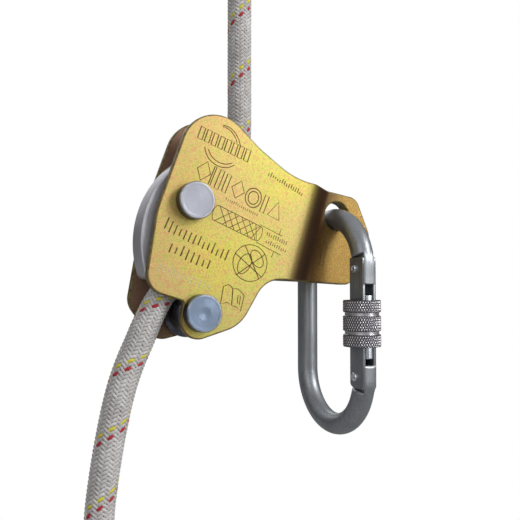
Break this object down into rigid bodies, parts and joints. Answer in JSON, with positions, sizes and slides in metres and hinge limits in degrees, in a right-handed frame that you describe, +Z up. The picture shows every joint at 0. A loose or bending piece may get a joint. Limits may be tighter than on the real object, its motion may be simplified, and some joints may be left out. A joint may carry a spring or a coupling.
{
  "type": "guided rope grab",
  "caption": "Guided rope grab with two joggled steel side plates, sprung cam and roller on a kernmantle line, with an oval screw-gate karabiner in its tab.",
  "frame": {"origin": "bearing point at the top inside of the thimble in the rope's anchor eye, which holds the part up", "axes": "+Z up along the plumb rope, +X from the rope towards the connector tab, +Y from the front plate to the rear plate"},
  "size_m": [0.1434, 0.0609, 0.3589],
  "materials": {
    "gold_zinc": "yellow-passivated zinc plating with a faint iridescence",
    "zinc_steel": "satin clear-passivated zinc",
    "bright_steel": "bright turned steel",
    "cast_steel": "matt grey stainless casting",
    "dark_steel": "polished dark steel",
    "bronze": "plain bearing bronze",
    "spring_steel": "drawn spring wire",
    "rope_sheath": "white braided sheath with yellow and red tracers",
    "shrink_sleeve": "heat-shrink tube over stitching",
    "thimble_plastic": "moulded nylon"
  },
  "bodies": {
    "frame": {"front_plate": "gold_zinc", "rear_plate": "gold_zinc", "upper_axle": "bright_steel", "lower_axle": "bright_steel", "cam_bush": "bronze", "roller_bush": "bronze", "cam_washer_front": "zinc_steel", "cam_washer_rear": "zinc_steel", "roller_washer_front": "zinc_steel", "roller_washer_rear": "zinc_steel", "rope_upper": "rope_sheath", "rope_inside": "rope_sheath", "rope_lower": "rope_sheath", "rope_eye": "rope_sheath", "eye_sleeve": "shrink_sleeve", "rope_end_stop": "shrink_sleeve", "thimble": "thimble_plastic"},
    "cam": {"cam": "cast_steel", "cam_spring": "spring_steel"},
    "roller": {"rope_roller": "dark_steel"},
    "karabiner": {"karabiner_body": "zinc_steel"},
    "gate": {"gate_channel": "zinc_steel", "gate_bar": "bright_steel", "gate_hinge_pin": "zinc_steel", "gate_latch_pin": "zinc_steel", "gate_plunger": "spring_steel", "gate_spring": "spring_steel"},
    "sleeve_thread": {"sleeve_thread_ring": "bronze"},
    "sleeve": {"locking_sleeve": "zinc_steel"}
  },
  "joints": [
    {"name": "cam_pivot", "type": "hinge", "parent": "frame", "child": "cam", "pos_m": [-0.0263, 0, -0.1776], "axis": [0, 1, 0], "range_deg": [0, 18], "stiffness_Nm_per_rad": 0.05, "springref_deg": -34.38},
    {"name": "roller_spin", "type": "hinge", "parent": "frame", "child": "roller", "pos_m": [-0.023, 0, -0.2244], "axis": [0, 1, 0], "continuous": true},
    {"name": "karabiner_swing", "type": "hinge", "parent": "frame", "child": "karabiner", "pos_m": [0.0504, 0, -0.181], "axis": [0, -1, 0], "range_deg": [-45, 180]},
    {"name": "gate_hinge", "type": "hinge", "parent": "karabiner", "child": "gate", "pos_m": [0.0504, -0.0223, -0.2539], "axis": [-1, 0, 0], "range_deg": [0, 14], "stiffness_Nm_per_rad": 0.05, "springref_deg": -34.38},
    {"name": "sleeve_slide", "type": "slide", "parent": "gate", "child": "sleeve_thread", "axis": [0, 0, -1], "range_m": [-0.011, 0.005]},
    {"name": "sleeve_turn", "type": "hinge", "parent": "sleeve_thread", "child": "sleeve", "pos_m": [0.0504, -0.023, -0.2298], "axis": [0, 0, -1], "range_deg": [-1980, 900]}
  ],
  "couplings": [
    {"joint": "sleeve_slide", "follows": "sleeve_turn", "m_per_rad": 0.00031831}
  ]
}
